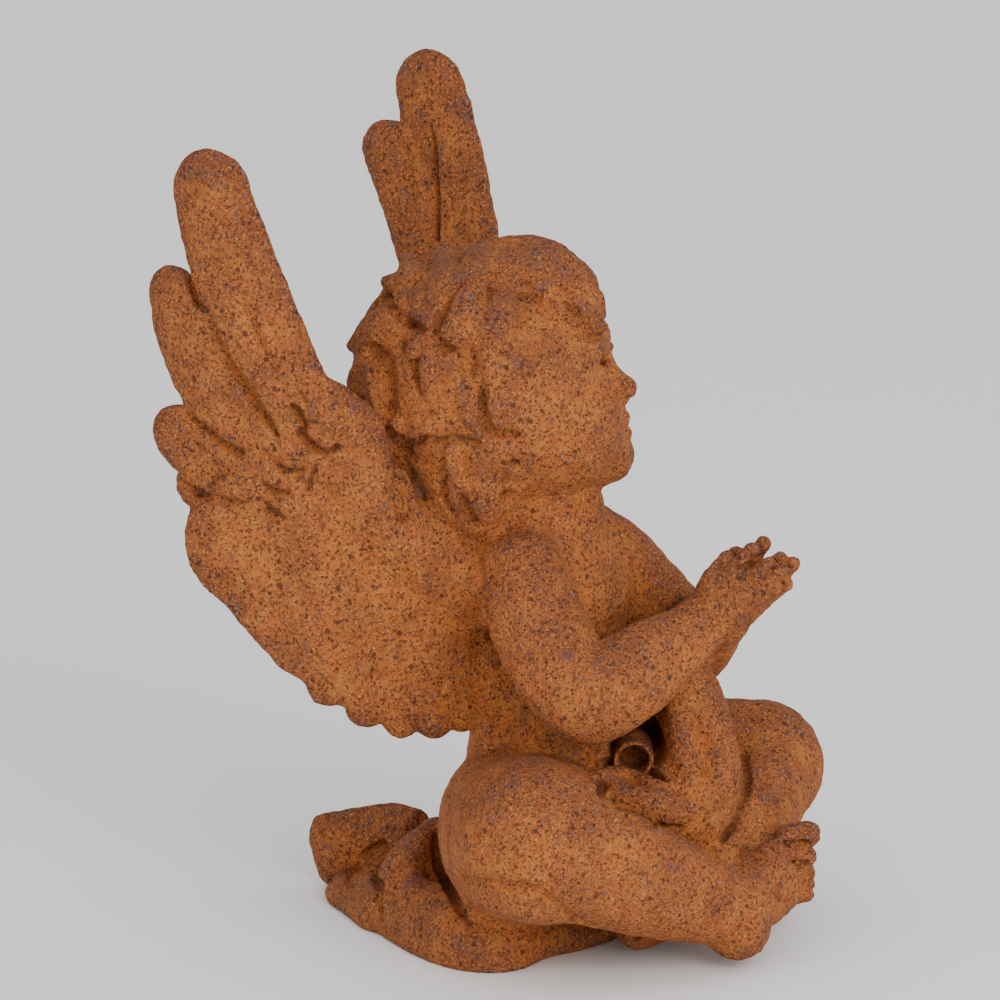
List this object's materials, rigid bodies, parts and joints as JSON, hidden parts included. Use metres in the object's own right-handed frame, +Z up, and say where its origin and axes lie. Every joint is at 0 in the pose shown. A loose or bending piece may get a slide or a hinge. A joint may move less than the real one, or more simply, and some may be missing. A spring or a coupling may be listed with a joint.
{
  "type": "garden angel statue",
  "caption": "Chubby winged child in one rust-coloured casting, sitting cross-legged on a trailing cloth, with hands joined and the face turned up.",
  "frame": {"origin": "on the ground, under the middle of the box around the statue", "axes": "+Z up; the figure's chest faces -Y, and its right side faces -X"},
  "size_m": [0.1912, 0.2274, 0.3047],
  "materials": {
    "rusty_casting": "sandy cast stone with a rust finish: matt orange-brown, pitted, speckled with dark purple-brown"
  },
  "bodies": {
    "root": {"angel_statue": "rusty_casting"}
  },
  "joints": []
}
